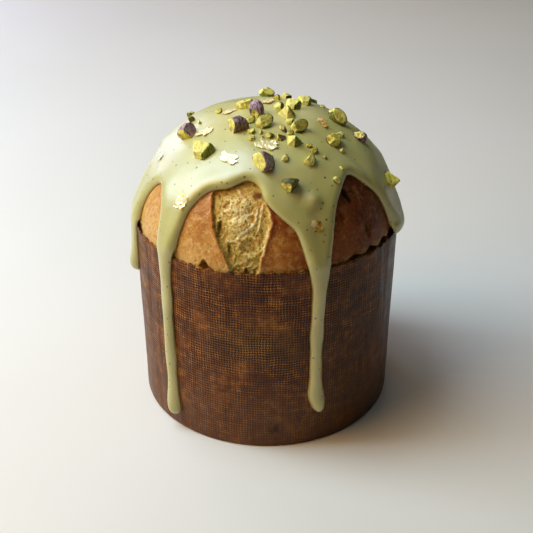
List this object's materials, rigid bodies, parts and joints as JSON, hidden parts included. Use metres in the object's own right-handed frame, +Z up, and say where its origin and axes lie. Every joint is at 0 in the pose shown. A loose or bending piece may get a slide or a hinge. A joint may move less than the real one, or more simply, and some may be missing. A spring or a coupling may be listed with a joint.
{
  "type": "panettone",
  "caption": "Tall domed panettone in a brown paper case, with pale green pistachio glaze running down the sides, chopped pistachios and gold foil flakes.",
  "frame": {"origin": "middle of the paper case's flat base, on the surface that it stands on", "axes": "+Z up through the crown; -Y is the front, where the crust is torn open between two long runs of glaze; +X is the viewer's right"},
  "size_m": [0.1388, 0.134, 0.1635],
  "materials": {
    "case_paper": "satin",
    "crust": "matte",
    "glaze": "satin",
    "pistachio": "matte",
    "foil": "gloss"
  },
  "bodies": {
    "root": {"paper_case": "case_paper", "loaf": "crust", "glaze": "glaze", "nut_01": "pistachio", "nut_02": "pistachio", "nut_03": "pistachio", "nut_04": "pistachio", "nut_05": "pistachio", "nut_06": "pistachio", "nut_07": "pistachio", "nut_08": "pistachio", "nut_09": "pistachio", "nut_10": "pistachio", "nut_11": "pistachio", "nut_12": "pistachio", "nut_13": "pistachio", "nut_14": "pistachio", "nut_15": "pistachio", "nut_16": "pistachio", "nut_17": "pistachio", "nut_18": "pistachio", "nut_19": "pistachio", "nut_20": "pistachio", "nut_21": "pistachio", "nut_22": "pistachio"}
  },
  "joints": []
}
